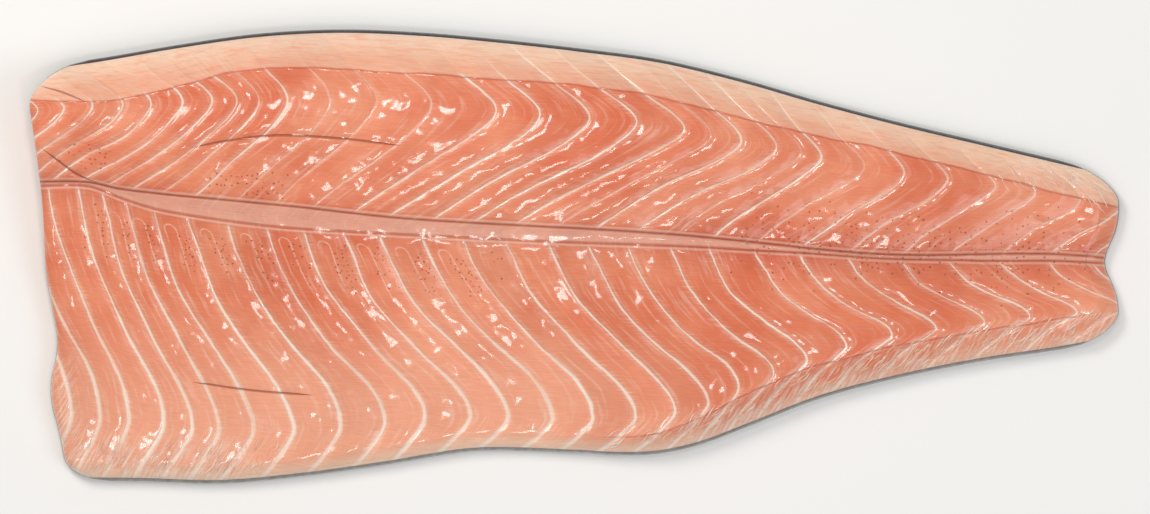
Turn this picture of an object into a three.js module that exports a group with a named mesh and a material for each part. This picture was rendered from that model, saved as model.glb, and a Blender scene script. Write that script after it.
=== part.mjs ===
// A whole side of salmon with its skin on, lying flesh up: the thick loin along the back, the thin belly
// flap, the channel where the backbone lay, the chevron-shaped flakes, and the bevelled, trimmed edges.
// Millimetres, +Z up. +X runs from the head cut to the tail, +Y from the belly to the back.
// The origin is under the middle of the fillet, on the surface that it lies on.

import * as THREE from "three";
import { mergeVertices } from "three/addons/utils/BufferGeometryUtils.js";

// Outline, seen from above: back and belly edges as y over x, and the head cut as x over y
const BACK_EDGE = [[-272, 94], [-235, 99.5], [-197, 106], [-157, 111.5], [-117, 113.5], [-77, 112],
  [-37, 108.5], [3, 104], [43, 98.5], [83, 89], [123, 77.5], [163, 67], [203, 57.5], [243, 48], [272, 41]];
const BELLY_EDGE = [[-272, -112], [-217, -112.5], [-177, -113.5], [-137, -110], [-97, -104.5], [-57, -98],
  [-37, -97], [3, -98.5], [23, -99.5], [43, -98.5], [63, -94], [83, -86.5], [123, -71], [163, -60.5],
  [203, -52.5], [243, -46.5], [272, -41]];
const HEAD_CUT = [[-112, -254], [-98, -256], [-86, -258.5], [-74, -261.5], [-62, -262], [-50, -259.5],
  [-40, -259], [-28, -261], [-8, -264.5], [28, -266.5], [58, -270], [76, -272.5], [94, -272.5]];
const TAIL_X = 272.5;
const TAIL_NOTCH = { y: -2.5, depth: 7, width: 13 };
const CORNERS = {
  headBack: { along: 30, across: 20 },
  headBelly: { along: 22, across: 12 },
  tailBack: { along: 30, across: 15 },
  tailBelly: { along: 27, across: 14 },
};
const LEAST_CORNER = 1; // of both sizes, where the outline is taken in by nearly as much as the corner

// Lines along the flesh: the middle of the backbone channel, half its width, and the bevels' widths
const MIDLINE = [[-272, 36], [-243, 36], [-225, 31], [-206, 27], [-175, 23], [-147, 20], [-87, 15], [-34, 12],
  [51, 8], [103, 4], [155, 0], [200, -0.5], [240, -0.5], [272, -2.5]];
const CHANNEL_HALF = [[-272, 0.8], [-240, 0.8], [-206, 3.8], [-147, 5.2], [-87, 3.8], [8, 3.2], [82, 1.8],
  [123, 0.8], [180, 0.8], [217, 1.4], [272, 1]];
const BACK_BEVEL = [[-272, 16], [-223, 23], [-166, 18.5], [-90, 21], [15, 19], [80, 20], [150, 16],
  [272, 17]];
const BELLY_BEVEL = [[-272, 9], [0, 9], [40, 10], [90, 17], [190, 15.5], [272, 15]];

// Heights: thickness of the flesh at the crest of the loin, and its share of that across the fillet
const LOIN_THICKNESS = [[-272, 29], [-210, 32], [-140, 33], [-40, 30], [60, 24], [140, 18], [210, 13.5],
  [272, 10.5]];
const BACK_SHARE = [[0, 0.8], [0.22, 0.92], [0.48, 1], [0.75, 0.93], [1, 0.82]];
const FLAP_SHARE = [[0, 0.8], [0.12, 0.66], [0.3, 0.49], [0.55, 0.37], [0.8, 0.31], [1, 0.28]];
const TAIL_SHARE = [[0, 0.8], [0.25, 0.93], [0.55, 0.95], [1, 0.84]];
const FLAP_ENDS = [-30, 110]; // the belly flap turns into solid tail muscle over this stretch of x
const EDGE_THICKNESS = 3.2; // of the flesh at its rim
const TAIL_BEVEL = 9;
// Powers of the rise from each edge: the lower, the blunter the edge
const EDGE_RISE = { back: 0.72, flap: 0.42, tailBelly: 0.72, tail: 0.6 };
const HEAD_ROUNDING = { width: 4, drop: 2.4 };
const CHANNEL = { depth: 1.3, shoulder: 2.2, power: 0.5 };
const WAVES = { height: 0.45, along: 25, alongStart: 0.7, across: 22, acrossStart: -0.4 };
// Shallow hollows in the flesh: x, y, half length, half width, depth
const HOLLOWS = [[-168, 51, 20, 10, 0.6], [-10, 30, 48, 12, 0.8], [-185, -54, 26, 20, 0.8],
  [-48, -49, 38, 21, 0.9], [170, -24, 30, 10, 0.7], [233, 12, 28, 10, 0.6]];

// Skin, and how far it curls up from the surface it lies on
const SKIN = 1.2;
const GAP = 0.3; // between the skin and the flesh
const SKIN_PROUD = 2.2; // the skin reaches this far past the flesh along the back and belly
const END_PROUD = 0.9; // and this far at the two end cuts
const BACK_CURL = { width: 34, rise: 8, tailShare: 0.6 };
const FLAP_CURL = { width: 20, rise: 1.6 };
const TAIL_CURL = { width: 26, rise: 4.5 };

// Flakes: where each one starts on the midline, how far it reaches back in the loin and belly, and its relief
const FLAKE_START = -341.3;
const FLAKE_LENGTH = [[-338, 12.1], [-262, 14.3], [-235, 11.5], [-200, 18.9], [-150, 18.8], [-60, 21],
  [40, 20.4], [120, 24.8], [200, 24.3], [272, 21]];
const LOIN_REACH = [[-338, 46], [-290, 51], [-250, 52.5], [-224, 55.5], [-194, 51], [-174, 53], [-150, 58],
  [-117, 77], [-98, 81.4], [-77, 85], [-56, 88], [-36, 90], [-14, 82.5], [5.5, 77.5], [26, 75.5],
  [47, 65.5], [66, 56.8], [89, 55], [112, 53.4], [140, 50], [272, 34]];
const BELLY_REACH = [[-338, 38], [-250, 42], [-160, 60], [-30, 66], [60, 50], [130, 45], [272, 36]];
const LOIN_BEND = [[0, 0], [0.15, 0.24], [0.3, 0.51], [0.43, 0.76], [0.55, 0.94], [0.63, 1], [0.7, 0.95],
  [0.8, 0.78], [1, 0.5]];
const BELLY_BEND = [[0, 0], [0.1, 0.05], [0.36, 0.25], [0.6, 0.56], [0.82, 0.88], [1, 1], [1.1, 0.9],
  [1.25, 0.66], [1.6, 0.3]];
const BELLY_TURN = [[-338, 0.76], [-160, 0.82], [-90, 0.84], [10, 0.79], [60, 0.72], [110, 0.64], [272, 0.6]];
// Share of the flake's length, and the height of its relief there
const FLAKE_STEPS = [[0, -0.9], [0.16, 0.1], [0.58, 0.4]];
// How the flakes differ from one to the next
const UNEVEN = { length: 0.05, lengthBeat: 2.4, relief: 0.25, reliefBeat: 1.7 };
const RELIEF_FADE = { channel: 7, back: 12, belly: 9 }; // the relief dies away over these distances

// Mesh rows, as shares of each strip between two lines along the fillet, and end columns, as distances
// from the cut
const ROWS = {
  backBevel: [0, 0.07, 0.22, 0.45, 0.72],
  loin: [0, 0.07, 0.14, 0.21, 0.28, 0.37, 0.48, 0.6, 0.73, 0.85, 0.94],
  channel: [0, 0.5],
  belly: [0, 0.07, 0.16, 0.27, 0.39, 0.51, 0.62, 0.71, 0.79, 0.86, 0.93],
  bellyBevel: [0, 0.35, 0.68, 0.88, 1],
};
const END_COLUMNS = [0, 1.4, 4.5];
const FIRST_FLAKE_COLUMN = 7;
const UNDER_RINGS = [5, 12, 22, 36];
const SKIN_COLUMNS = 64;
const SKIN_ROWS = 22;

// Steps towards a point that depends on its own x
const STEPS = 12;
const STEP_SHARE = 0.8;
const NEAR_END = 250; // of x, from which an end cut is looked for
const WELD = 1e-3; // points nearer than this are one

const { clamp, lerp, smoothstep } = THREE.MathUtils;

// A smooth curve through [t, value] stations, flat beyond its ends.
function curve(stations) {
  const slope = stations.map((_, i) => {
    const a = stations[Math.max(i - 1, 0)];
    const b = stations[Math.min(i + 1, stations.length - 1)];
    return (b[1] - a[1]) / (b[0] - a[0]);
  });
  return (t) => {
    if (t <= stations[0][0]) return stations[0][1];
    if (t >= stations.at(-1)[0]) return stations.at(-1)[1];
    const i = stations.findIndex((s) => s[0] > t) - 1;
    const [t0, a] = stations[i];
    const [t1, b] = stations[i + 1];
    const span = t1 - t0;
    const u = (t - t0) / span;
    return a * (1 + 2 * u) * (1 - u) ** 2 + b * u * u * (3 - 2 * u)
      + span * u * (1 - u) * (slope[i] * (1 - u) - slope[i + 1] * u);
  };
}

const backEdge = curve(BACK_EDGE);
const bellyEdge = curve(BELLY_EDGE);
const headCut = curve(HEAD_CUT);
const midline = curve(MIDLINE);
const channelHalf = curve(CHANNEL_HALF);
const backBevel = curve(BACK_BEVEL);
const bellyBevel = curve(BELLY_BEVEL);
const loinThickness = curve(LOIN_THICKNESS);
const backShare = curve(BACK_SHARE);
const flapShare = curve(FLAP_SHARE);
const tailShare = curve(TAIL_SHARE);
const flakeLength = curve(FLAKE_LENGTH);
const loinReach = curve(LOIN_REACH);
const bellyReach = curve(BELLY_REACH);
const loinBend = curve(LOIN_BEND);
const bellyBend = curve(BELLY_BEND);
const bellyTurn = curve(BELLY_TURN);

// How far a rounded corner takes the end cut in, at a distance from the long edge.
function cornerInset(corner, inset, distance) {
  const along = Math.max(corner.along - inset, LEAST_CORNER);
  const across = Math.max(corner.across - inset, LEAST_CORNER);
  if (distance >= across) return 0;
  const u = 1 - Math.max(distance, 0) / across;
  return along * (1 - Math.sqrt(1 - u * u));
}

// The two end cuts, with the outline taken in by inset, where a row of the mesh meets them.
function headX(x, y, inset) {
  const fromBack = backEdge(x) - inset - y;
  const fromBelly = y - bellyEdge(x) - inset;
  return headCut(y) + inset + cornerInset(CORNERS.headBack, inset, fromBack)
    + cornerInset(CORNERS.headBelly, inset, fromBelly);
}

function tailX(x, y, inset) {
  const fromBack = backEdge(x) - inset - y;
  const fromBelly = y - bellyEdge(x) - inset;
  const notch = TAIL_NOTCH.depth * Math.exp(-(((y - TAIL_NOTCH.y) / TAIL_NOTCH.width) ** 2));
  return TAIL_X - notch - inset - cornerInset(CORNERS.tailBack, inset, fromBack)
    - cornerInset(CORNERS.tailBelly, inset, fromBelly);
}

// The x that place(x) gives back as it is, found in steps.
function settle(start, place) {
  let x = start;
  for (let i = 0; i < STEPS; i++) x = lerp(x, place(x), STEP_SHARE);
  return x;
}

// Where a row, given as y over x, meets the head cut and the tail end.
function rowEnds(rowY, inset) {
  return [
    settle(-NEAR_END, (x) => headX(x, rowY(x), inset)),
    settle(NEAR_END, (x) => tailX(x, rowY(x), inset)),
  ];
}

// Height of the skin's underside over the surface it lies on.
function curl(x, y) {
  const rise = (shape, distance) => shape.rise * Math.max(1 - Math.max(distance, 0) / shape.width, 0) ** 2;
  const tail = smoothstep(x, ...FLAP_ENDS);
  const belly = y - bellyEdge(x);
  return rise(BACK_CURL, backEdge(x) - y) * lerp(1, BACK_CURL.tailShare, tail)
    + lerp(rise(FLAP_CURL, belly), rise(TAIL_CURL, belly), tail);
}

const fleshUnderside = (x, y) => curl(x, y) + SKIN + GAP;

// 0 at the midline, 1 at the back edge, -1 at the belly edge.
function across(x, y) {
  const middle = midline(x);
  return y > middle ? (y - middle) / (backEdge(x) - middle) : (y - middle) / (middle - bellyEdge(x));
}

// Top of the flesh without the relief of the flakes, where its row runs from head to tail.
function fleshTop(x, y, head, tail) {
  const w = across(x, y);
  const solid = smoothstep(x, ...FLAP_ENDS);
  const share = w > 0 ? backShare(w) : lerp(flapShare(-w), tailShare(-w), solid);
  const ramp = (distance, width, power) => clamp(distance / width, 0, 1) ** power;
  const fromBack = ramp(backEdge(x) - SKIN_PROUD - y, backBevel(x) - SKIN_PROUD, EDGE_RISE.back);
  const fromBelly = ramp(y - bellyEdge(x) - SKIN_PROUD, bellyBevel(x) - SKIN_PROUD,
    lerp(EDGE_RISE.flap, EDGE_RISE.tailBelly, solid));
  const fromTail = ramp(tail - x, TAIL_BEVEL, EDGE_RISE.tail);
  const thickness = lerp(EDGE_THICKNESS, loinThickness(x) * share, fromBack * fromBelly * fromTail);
  const headDrop = HEAD_ROUNDING.drop * (1 - clamp((x - head) / HEAD_ROUNDING.width, 0, 1)) ** 2;
  const offMiddle = Math.abs(y - midline(x)) / (channelHalf(x) + CHANNEL.shoulder);
  const channel = CHANNEL.depth * Math.max(1 - offMiddle, 0) ** CHANNEL.power;
  const waves = WAVES.height * Math.sin(x / WAVES.along + WAVES.alongStart)
    * Math.cos(y / WAVES.across + WAVES.acrossStart);
  const hollows = HOLLOWS.reduce((sum, [hollowX, hollowY, along, wide, depth]) =>
    sum + depth * Math.exp(-(((x - hollowX) / along) ** 2) - ((y - hollowY) / wide) ** 2), 0);
  return fleshUnderside(x, y) + thickness - headDrop - channel * fromTail
    + (waves - hollows) * fromBack * fromBelly * fromTail;
}

// Where the flake that starts at start on the midline crosses a row.
function flakeX(start, rowY) {
  return settle(start, (x) => {
    const w = across(x, rowY(x));
    return start + (w > 0
      ? loinReach(start) * loinBend(w)
      : bellyReach(start) * bellyBend(-w / bellyTurn(start)));
  });
}

// The flakes' columns: where each starts on the midline, and its relief.
function flakeColumns() {
  const columns = [];
  for (let start = FLAKE_START, n = 0; start < TAIL_X; n++) {
    const length = flakeLength(start) * (1 + UNEVEN.length * Math.sin(n * UNEVEN.lengthBeat));
    const strength = 1 + UNEVEN.relief * Math.sin(n * UNEVEN.reliefBeat);
    for (const [share, relief] of FLAKE_STEPS) {
      columns.push({ start: start + share * length, relief: relief * strength });
    }
    start += length;
  }
  return columns;
}

// The rows across the flesh, from the back edge to the belly edge, as functions giving y over x.
function fleshRows() {
  const lines = [
    (x) => backEdge(x) - SKIN_PROUD,
    (x) => backEdge(x) - backBevel(x),
    (x) => midline(x) + channelHalf(x),
    (x) => midline(x) - channelHalf(x),
    (x) => bellyEdge(x) + bellyBevel(x),
    (x) => bellyEdge(x) + SKIN_PROUD,
  ];
  return Object.values(ROWS).flatMap((shares, strip) =>
    shares.map((share) => (x) => lerp(lines[strip](x), lines[strip + 1](x), share)));
}

// The flesh's top, as rows of points. Columns follow the flakes, and are held between the two end cuts.
function fleshGrid() {
  const columns = flakeColumns();
  return fleshRows().map((rowY) => {
    const [head, tail] = rowEnds(rowY, END_PROUD);
    const point = (x, relief) => {
      const y = rowY(x);
      const fade = smoothstep(Math.abs(y - midline(x)) - channelHalf(x), 0, RELIEF_FADE.channel)
        * smoothstep(backEdge(x) - y, SKIN_PROUD, RELIEF_FADE.back)
        * smoothstep(y - bellyEdge(x), SKIN_PROUD, RELIEF_FADE.belly)
        * smoothstep(tail - x, 0, TAIL_BEVEL);
      return new THREE.Vector3(x, y, fleshTop(x, y, head, tail) + relief * fade);
    };
    const first = head + FIRST_FLAKE_COLUMN;
    const last = tail - FIRST_FLAKE_COLUMN;
    return [
      ...END_COLUMNS.map((d) => point(head + d, 0)),
      ...columns.map(({ start, relief }) => {
        const x = flakeX(start, rowY);
        return point(clamp(x, first, last), x > first && x < last ? relief : 0);
      }),
      ...END_COLUMNS.toReversed().map((d) => point(tail - d, 0)),
    ];
  });
}

// The rim of a grid of points, once round, without repeats.
function rimOf(grid) {
  const loop = [
    ...grid[0],
    ...grid.slice(1).map((row) => row.at(-1)),
    ...grid.at(-1).toReversed().slice(1),
    ...grid.slice(1, -1).toReversed().map((row) => row[0]),
  ];
  return loop.filter((p, i) => p.distanceTo(loop[(i + 1) % loop.length]) > WELD);
}

// A loop of points with the outline taken in further, at the heights of a surface.
function ringInside(loop, fromInset, inset, height) {
  return loop.map((p) => {
    const back = backEdge(p.x) - fromInset;
    const belly = bellyEdge(p.x) + fromInset;
    const v = (p.y - belly) / (back - belly);
    const y = (x, by) => lerp(bellyEdge(x) + by, backEdge(x) - by, v);
    const [head, tail] = rowEnds((x) => y(x, fromInset), fromInset);
    const [innerHead, innerTail] = rowEnds((x) => y(x, inset), inset);
    const x = lerp(innerHead, innerTail, clamp((p.x - head) / (tail - head), 0, 1));
    return new THREE.Vector3(x, y(x, inset), height(x, y(x, inset)));
  });
}

// Triangles are gathered here as points, three by three, and merged into one closed geometry.
class Faces {
  constructor() {
    this.points = [];
  }

  triangle(a, b, c) {
    this.points.push(a, b, c);
  }

  // Facing up where the grid's rows run towards -Y and its columns towards +X.
  grid(rows) {
    for (let j = 0; j + 1 < rows.length; j++) {
      for (let i = 0; i + 1 < rows[j].length; i++) {
        const [a, b, c, d] = [rows[j][i], rows[j][i + 1], rows[j + 1][i + 1], rows[j + 1][i]];
        this.triangle(a, d, c);
        this.triangle(a, c, b);
      }
    }
  }

  // Between two loops of as many points, facing out where both run clockwise and the second is below.
  band(upper, lower) {
    upper.forEach((a, i) => {
      const n = (i + 1) % upper.length;
      this.triangle(a, upper[n], lower[n]);
      this.triangle(a, lower[n], lower[i]);
    });
  }

  // A flat cap over a loop that runs clockwise, seen from above.
  cap(loop, facingUp) {
    for (const [a, b, c] of THREE.ShapeUtils.triangulateShape(loop, [])) {
      const isCounterclockwise = !THREE.ShapeUtils.isClockWise([loop[a], loop[b], loop[c]]);
      if (isCounterclockwise === facingUp) this.triangle(loop[a], loop[b], loop[c]);
      else this.triangle(loop[a], loop[c], loop[b]);
    }
  }

  // Columns that run together at an end cut leave faces without area, which are left out.
  geometry() {
    const flat = new THREE.BufferGeometry().setFromPoints(this.points);
    const merged = mergeVertices(flat, WELD);
    const kept = [];
    for (let i = 0; i < merged.index.count; i += 3) {
      const [a, b, c] = [0, 1, 2].map((k) => merged.index.getX(i + k));
      if (a !== b && b !== c && c !== a) kept.push(a, b, c);
    }
    merged.setIndex(kept);
    merged.computeVertexNormals();
    return merged;
  }
}

// The flesh: the flaked top, and an underside that follows the curl of the skin.
function fleshGeometry() {
  const faces = new Faces();
  const grid = fleshGrid();
  faces.grid(grid);
  const rim = rimOf(grid);
  const edge = rim.map((p) => new THREE.Vector3(p.x, p.y, fleshUnderside(p.x, p.y)));
  const rings = UNDER_RINGS.map((inset) => ringInside(edge, SKIN_PROUD, inset + SKIN_PROUD, fleshUnderside));
  [rim, edge, ...rings].forEach((loop, i, all) => {
    if (i) faces.band(all[i - 1], loop);
  });
  faces.cap(rings.at(-1), false);
  return faces.geometry();
}

// The skin's outline, clockwise from the head end of the back, seen from above.
function skinRim() {
  const edgeRow = (rowY) => {
    const [head, tail] = rowEnds(rowY, 0);
    return Array.from({ length: SKIN_COLUMNS + 1 }, (_, i) => {
      const x = lerp(head, tail, i / SKIN_COLUMNS);
      return new THREE.Vector3(x, rowY(x), 0);
    });
  };
  const ends = Array.from({ length: SKIN_ROWS - 1 }, (_, j) => {
    const v = (1 - Math.cos(Math.PI * (j + 1) / SKIN_ROWS)) / 2;
    const rowY = (x) => lerp(backEdge(x), bellyEdge(x), v);
    return rowEnds(rowY, 0).map((x) => new THREE.Vector3(x, rowY(x), 0));
  });
  return [
    ...edgeRow(backEdge),
    ...ends.map(([, tail]) => tail),
    ...edgeRow(bellyEdge).toReversed(),
    ...ends.toReversed().map(([head]) => head),
  ];
}

// The skin: one thin sheet under the flesh, curled up along the back and the tail.
function skinGeometry() {
  const faces = new Faces();
  const rim = skinRim();
  const inside = (x, y) => curl(x, y) + SKIN;
  const loops = (height) => [
    rim.map((p) => new THREE.Vector3(p.x, p.y, height(p.x, p.y))),
    ...UNDER_RINGS.map((inset) => ringInside(rim, 0, inset, height)),
  ];
  const upper = loops(inside).toReversed();
  const lower = loops(curl);
  faces.cap(upper[0], true);
  [...upper, ...lower].forEach((loop, i, all) => {
    if (i) faces.band(all[i - 1], loop);
  });
  faces.cap(lower.at(-1), false);
  return faces.geometry();
}

// A named mesh with a finish of its own.
function piece(name, geometry, finish) {
  const mesh = new THREE.Mesh(geometry, new THREE.MeshStandardMaterial(finish));
  mesh.name = name;
  return mesh;
}

const fillet = new THREE.Group();
fillet.add(piece("flesh", fleshGeometry(), { color: 0xef8f6c, roughness: 0.38, metalness: 0 }));
fillet.add(piece("skin", skinGeometry(), { color: 0x9aa0a0, roughness: 0.3, metalness: 0.25 }));

export default fillet;
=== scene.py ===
import math
import bpy
import numpy as np
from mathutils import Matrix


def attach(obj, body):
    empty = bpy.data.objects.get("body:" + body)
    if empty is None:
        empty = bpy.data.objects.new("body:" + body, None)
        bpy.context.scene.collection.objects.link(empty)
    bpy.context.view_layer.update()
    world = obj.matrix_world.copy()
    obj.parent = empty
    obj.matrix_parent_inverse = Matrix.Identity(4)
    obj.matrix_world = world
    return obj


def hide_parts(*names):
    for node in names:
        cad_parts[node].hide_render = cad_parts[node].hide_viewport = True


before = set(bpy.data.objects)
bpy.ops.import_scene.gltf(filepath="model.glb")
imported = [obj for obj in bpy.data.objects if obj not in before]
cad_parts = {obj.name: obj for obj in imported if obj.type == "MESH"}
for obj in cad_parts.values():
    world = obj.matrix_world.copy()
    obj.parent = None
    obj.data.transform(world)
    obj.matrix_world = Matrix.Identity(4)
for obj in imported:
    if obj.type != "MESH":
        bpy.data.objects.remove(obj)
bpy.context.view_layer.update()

# A whole raw side of salmon, skin on, lying flesh up on a pale floor.
# The shape is worked out in millimetres, in the frame's axes: +X to the tail, +Y to the back, +Z up.
mm = 0.001
rng = np.random.default_rng(11)

# Outline from above: y over x of the long edges, x over y of the head cut
outline = {
    "backEdge": [[-272, 94], [-235, 99.5], [-197, 106], [-157, 111.5], [-117, 113.5], [-77, 112],
                 [-37, 108.5], [3, 104], [43, 98.5], [83, 89], [123, 77.5], [163, 67], [203, 57.5],
                 [243, 48], [272, 41]],
    "bellyEdge": [[-272, -112], [-217, -112.5], [-177, -113.5], [-137, -110], [-97, -104.5], [-57, -98],
                  [-37, -97], [3, -98.5], [23, -99.5], [43, -98.5], [63, -94], [83, -86.5], [123, -71],
                  [163, -60.5], [203, -52.5], [243, -46.5], [272, -41]],
    "headCut": [[-112, -254], [-98, -256], [-86, -258.5], [-74, -261.5], [-62, -262], [-50, -259.5],
                [-40, -259], [-28, -261], [-8, -264.5], [28, -266.5], [58, -270], [76, -272.5], [94, -272.5]],
    "tailX": 272.5,
    "notch": {"y": -2.5, "depth": 7, "width": 13},
    "headBack": (30, 20),  # rounded corners: size along and across the fillet
    "headBelly": (22, 12),
    "tailBack": (30, 15),
    "tailBelly": (27, 14),
}

# The backbone channel and the bevels along the edges
channel = {
    "midline": [[-272, 36], [-243, 36], [-225, 31], [-206, 27], [-175, 23], [-147, 20], [-87, 15], [-34, 12],
                [51, 8], [103, 4], [155, 0], [200, -0.5], [240, -0.5], [272, -2.5]],
    "half": [[-272, 0.8], [-240, 0.8], [-206, 3.8], [-147, 5.2], [-87, 3.8], [8, 3.2], [82, 1.8],
             [123, 0.8], [180, 0.8], [217, 1.4], [272, 1]],
    "depth": 1.3,
    "shoulder": 2.2,
}
bevels = {
    "back": [[-272, 16], [-223, 23], [-166, 18.5], [-90, 21], [15, 19], [80, 20], [150, 16], [272, 17]],
    "belly": [[-272, 9], [0, 9], [40, 10], [90, 17], [190, 15.5], [272, 15]],
    "tail": 9,
    "backRise": 0.72,
    "flapRise": 0.42,
    "tailRise": 0.6,
}

# Thickness of the flesh: at the crest of the loin, and its share of that from the midline to each edge
thickness = {
    "loin": [[-272, 29], [-210, 32], [-140, 33], [-40, 30], [60, 24], [140, 18], [210, 13.5], [272, 10.5]],
    "backShare": [[0, 0.8], [0.22, 0.92], [0.48, 1], [0.75, 0.93], [1, 0.82]],
    "flapShare": [[0, 0.8], [0.12, 0.66], [0.3, 0.49], [0.55, 0.37], [0.8, 0.31], [1, 0.28]],
    "tailShare": [[0, 0.8], [0.25, 0.93], [0.55, 0.95], [1, 0.84]],
    "flapEnds": (-30, 110),
    "edge": 3.2,
    "headRounding": (4, 2.4),
    "waves": {"height": 0.45, "along": 25, "alongStart": 0.7, "across": 22, "acrossStart": -0.4},
    # Shallow hollows: x, y, half length, half width, depth
    "hollows": [[-168, 51, 20, 10, 0.6], [-10, 30, 48, 12, 0.8], [-185, -54, 26, 20, 0.8],
                [-48, -49, 38, 21, 0.9], [170, -24, 30, 10, 0.7], [233, 12, 28, 10, 0.6]],
}

# The skin, and how far it curls up from the floor
skinShape = {
    "thick": 1.2,
    "gap": 0.3,
    "proud": 2.2,
    "endProud": 0.9,
    "backCurl": (34, 8, 0.6),  # width, rise, and the share of the rise that is left at the tail
    "flapCurl": (20, 1.6),
    "tailCurl": (26, 4.5),
    "columns": 300,
    "rows": 110,
    "evenness": (0.8, 0.55),  # of the columns and rows: 1 even, 0 crowded towards the edges
}

# Flakes: their length along the midline, how far back each one runs in the loin and in the belly
flakes = {
    "start": -341.3,
    "length": [[-338, 12.1], [-262, 14.3], [-235, 11.5], [-200, 18.9], [-150, 18.8], [-60, 21], [40, 20.4],
               [120, 24.8], [200, 24.3], [272, 21]],
    "loinReach": [[-338, 46], [-290, 51], [-250, 52.5], [-224, 55.5], [-194, 51], [-174, 53], [-150, 58],
                  [-117, 77], [-98, 81.4], [-77, 85], [-56, 88], [-36, 90], [-14, 82.5], [5.5, 77.5],
                  [26, 75.5], [47, 65.5], [66, 56.8], [89, 55], [112, 53.4], [140, 50], [272, 34]],
    "bellyReach": [[-338, 38], [-250, 42], [-160, 60], [-30, 66], [60, 50], [130, 45], [272, 36]],
    "loinBend": [[0, 0], [0.15, 0.24], [0.3, 0.51], [0.43, 0.76], [0.55, 0.94], [0.63, 1], [0.7, 0.95],
                 [0.8, 0.78], [1, 0.5]],
    "bellyBend": [[0, 0], [0.1, 0.05], [0.36, 0.25], [0.6, 0.56], [0.82, 0.88], [1, 1], [1.1, 0.9],
                  [1.25, 0.66], [1.6, 0.3]],
    "bellyTurn": [[-338, 0.76], [-160, 0.82], [-90, 0.84], [10, 0.79], [60, 0.72], [110, 0.64], [272, 0.6]],
    "lengthSpread": (0.05, 2.4),  # share, and beat from flake to flake
    # Strength of the fat lines that are faint in the loin, by number from the head
    "faint": {10: 0.45, 12: 0.3, 13: 0.3, 14: 0.4, 20: 0.3, 23: 0.3, 25: 0.4, 27: 0.65, 28: 0.6, 29: 0.6,
              30: 0.6},
    "reliefSpread": (0.25, 1.7),
    "faintRelief": 0.3,  # what is left of it where a fat line is faint
    "relief": [[0, -0.62], [0.05, -0.3], [0.16, 0.12], [0.4, 0.36], [0.62, 0.36], [0.86, -0.06], [0.96, -0.34],
               [1, -0.62]],
    "fade": {"channel": 7, "back": 12, "belly": 9},
    "wobble": 0.9,
    "depthSlope": 1.1,  # the fat lines run on towards the tail by this much for each mm of depth
}


def curve(stations):
    t, value = np.array(stations, float).T
    place = np.arange(len(t))
    before, after = np.maximum(place - 1, 0), np.minimum(place + 1, len(t) - 1)
    slope = (value[after] - value[before]) / (t[after] - t[before])

    def at(x):
        x = np.clip(x, t[0], t[-1])
        i = np.clip(np.searchsorted(t, x, side="right") - 1, 0, len(t) - 2)
        span = t[i + 1] - t[i]
        u = (x - t[i]) / span
        ends = value[i] * (1 + 2 * u) * (1 - u) ** 2 + value[i + 1] * u * u * (3 - 2 * u)
        return ends + span * u * (1 - u) * (slope[i] * (1 - u) - slope[i + 1] * u)

    return at


def smoothstep(x, low, high):
    u = np.clip((x - low) / (high - low), 0, 1)
    return u * u * (3 - 2 * u)


def window(x, low, high, soft):
    return smoothstep(x, low, low + soft) * (1 - smoothstep(x, high - soft, high))


def lerp(a, b, t):
    return a + (b - a) * t


backEdge, bellyEdge, headCut = (curve(outline[k]) for k in ("backEdge", "bellyEdge", "headCut"))
midline, channelHalf = curve(channel["midline"]), curve(channel["half"])
backBevel, bellyBevel = curve(bevels["back"]), curve(bevels["belly"])
loinThickness = curve(thickness["loin"])
backShare, flapShare, tailShare = (curve(thickness[k]) for k in ("backShare", "flapShare", "tailShare"))
flakeLength, loinReach, bellyReach = (curve(flakes[k]) for k in ("length", "loinReach", "bellyReach"))
loinBend, bellyBend, bellyTurn = (curve(flakes[k]) for k in ("loinBend", "bellyBend", "bellyTurn"))
flakeRelief = curve(flakes["relief"])


def cornerInset(corner, inset, distance):
    along, across = (np.maximum(size - inset, 1) for size in corner)
    u = np.clip(1 - np.maximum(distance, 0) / across, 0, 1)
    return along * (1 - np.sqrt(1 - u * u))


def headX(x, y, inset):
    return (headCut(y) + inset + cornerInset(outline["headBack"], inset, backEdge(x) - inset - y)
            + cornerInset(outline["headBelly"], inset, y - bellyEdge(x) - inset))


def tailX(x, y, inset):
    notch = outline["notch"]
    cut = notch["depth"] * np.exp(-((y - notch["y"]) / notch["width"]) ** 2)
    return (outline["tailX"] - cut - inset - cornerInset(outline["tailBack"], inset, backEdge(x) - inset - y)
            - cornerInset(outline["tailBelly"], inset, y - bellyEdge(x) - inset))


# The x that place(x) gives back as it is
def settle(start, place, rounds=14):
    x = start
    for _ in range(rounds):
        x = lerp(x, place(x), 0.8)
    return x


# Where rows, given as y over x, meet the head cut and the tail end
def rowEnds(rowY, inset, count):
    near = np.full(count, 250.0)
    return (settle(-near, lambda x: headX(x, rowY(x), inset), 40),
            settle(near, lambda x: tailX(x, rowY(x), inset), 40))


# Height of the skin's underside over the floor
def curl(x, y):
    def rise(shape, distance):
        return shape[1] * np.maximum(1 - np.maximum(distance, 0) / shape[0], 0) ** 2

    tail = smoothstep(x, *thickness["flapEnds"])
    belly = y - bellyEdge(x)
    return (rise(skinShape["backCurl"], backEdge(x) - y) * lerp(1, skinShape["backCurl"][2], tail)
            + lerp(rise(skinShape["flapCurl"], belly), rise(skinShape["tailCurl"], belly), tail))


def fleshUnderside(x, y):
    return curl(x, y) + skinShape["thick"] + skinShape["gap"]


# 0 at the midline, 1 at the back edge, -1 at the belly edge
def across(x, y):
    middle = midline(x)
    return np.where(y > middle, (y - middle) / (backEdge(x) - middle), (y - middle) / (middle - bellyEdge(x)))


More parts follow.
